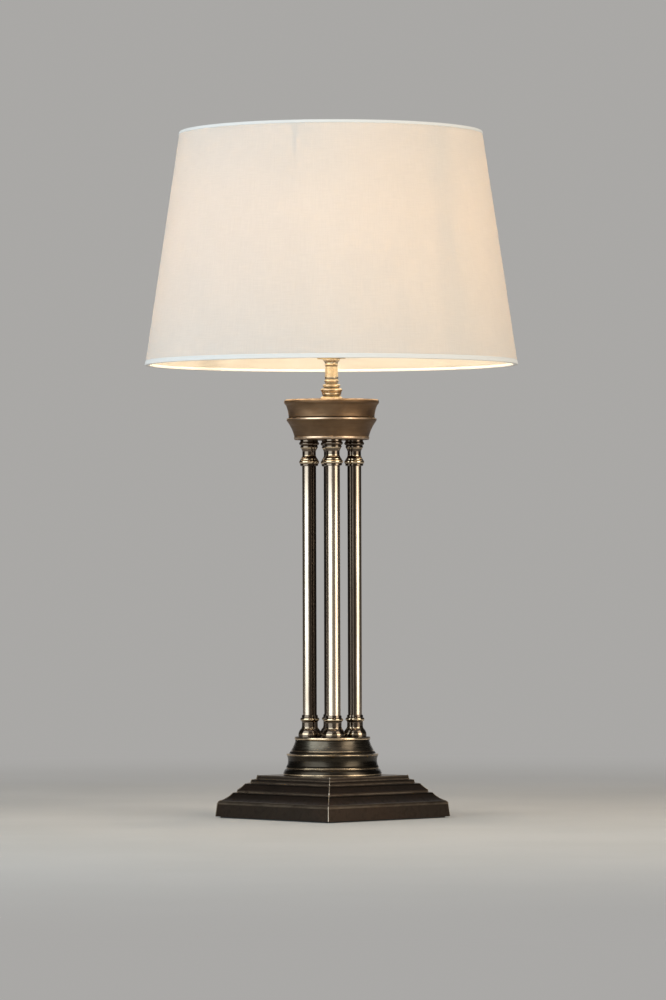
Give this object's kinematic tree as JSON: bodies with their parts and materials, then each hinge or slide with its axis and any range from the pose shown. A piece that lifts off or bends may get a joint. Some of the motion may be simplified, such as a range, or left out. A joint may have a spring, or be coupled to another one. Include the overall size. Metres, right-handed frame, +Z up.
{
  "type": "column table lamp",
  "caption": "Table lamp with slender metal columns on a stepped square plinth, a spun capital and a taper fabric shade on a harp.",
  "frame": {"origin": "middle of the felt's underside, on the table", "axes": "+Z up along the lamp's axis; the plinth's sides face X and Y; the cord inlet is in the +Y side"},
  "size_m": [0.4071, 0.4072, 0.7477],
  "materials": {
    "felt": "matt felt",
    "steel": "zinc plated",
    "iron": "as cast",
    "dark_bronze": "dark bronze, worn lighter along the edges",
    "collar_bronze": "dark antique bronze with worn brass beads",
    "capital_bronze": "brown bronze, spun, with a pale worn rim",
    "column_brass": "polished antique brass",
    "neck_brass": "bright antique brass",
    "socket_brass": "polished brass",
    "black_moulding": "black moulded",
    "fibre": "vulcanised fibre",
    "screw_shell_metal": "bright",
    "bulb_glass": "frosted",
    "harp_brass": "satin brass",
    "shade_wire": "white enamel",
    "shade_backing": "white styrene sheet",
    "shade_fabric": "off-white linen",
    "shade_trim": "off-white tape"
  },
  "bodies": {
    "root": {"felt_pad": "felt", "bottom_plate": "steel", "plate_screws": "steel", "weight_screws": "steel", "rod_washers_lower": "steel", "rod_nuts_lower": "steel", "rod_washers_upper": "steel", "rod_nuts_upper": "steel", "nipple_washer": "steel", "nipple_nut": "steel", "bush_nut": "steel", "tie_rod_1": "steel", "tie_rod_2": "steel", "tie_rod_3": "steel", "tie_rod_4": "steel", "neck_nipple": "steel", "base_weight": "iron", "base_plinth": "dark_bronze", "capital_lid": "dark_bronze", "base_collar": "collar_bronze", "capital_cup": "capital_bronze", "column_foot_1": "column_brass", "column_tube_1": "column_brass", "column_cap_1": "column_brass", "column_foot_2": "column_brass", "column_tube_2": "column_brass", "column_cap_2": "column_brass", "column_foot_3": "column_brass", "column_tube_3": "column_brass", "column_cap_3": "column_brass", "column_foot_4": "column_brass", "column_tube_4": "column_brass", "column_cap_4": "column_brass", "neck_stem": "neck_brass", "socket_cap": "socket_brass", "socket_shell": "socket_brass", "centre_contact": "socket_brass", "cord_bush": "black_moulding", "socket_core": "black_moulding", "socket_sleeve": "fibre", "screw_shell": "screw_shell_metal", "harp_saddle": "harp_brass"},
    "bulb": {"bulb_cap": "screw_shell_metal", "bulb_glass": "bulb_glass"},
    "switch": {"switch_shaft": "socket_brass", "switch_knob": "black_moulding"},
    "harp": {"harp_wire": "harp_brass", "harp_stud": "harp_brass"},
    "sleeve_right": {"harp_sleeve_1": "harp_brass"},
    "sleeve_left": {"harp_sleeve_2": "harp_brass"},
    "shade": {"spider_hub": "shade_wire", "spider_arms": "shade_wire", "shade_top_ring": "shade_wire", "shade_bottom_ring": "shade_wire", "shade_backing": "shade_backing", "shade_fabric": "shade_fabric", "top_trim": "shade_trim", "bottom_trim": "shade_trim"},
    "finial": {"finial": "neck_brass"}
  },
  "joints": [
    {"name": "bulb_turn", "type": "hinge", "parent": "root", "child": "bulb", "pos_m": [0, 0, 0.57], "axis": [0, 0, 1], "continuous": true},
    {"name": "switch_turn", "type": "hinge", "parent": "root", "child": "switch", "pos_m": [0, -0.03, 0.5255], "axis": [0, -1, 0], "continuous": true},
    {"name": "harp_lift", "type": "slide", "parent": "root", "child": "harp", "axis": [0, 0, 1], "range_m": [0, 0.014]},
    {"name": "sleeve_lift_right", "type": "slide", "parent": "harp", "child": "sleeve_right", "axis": [0, 0, 1], "range_m": [0, 0.009]},
    {"name": "sleeve_lift_left", "type": "slide", "parent": "harp", "child": "sleeve_left", "axis": [0, 0, 1], "range_m": [0, 0.009]},
    {"name": "shade_turn", "type": "hinge", "parent": "harp", "child": "shade", "pos_m": [0, 0, 0.7], "axis": [0, 0, 1], "continuous": true},
    {"name": "finial_turn", "type": "hinge", "parent": "harp", "child": "finial", "pos_m": [0, 0, 0.72], "axis": [0, 0, 1], "continuous": true}
  ]
}
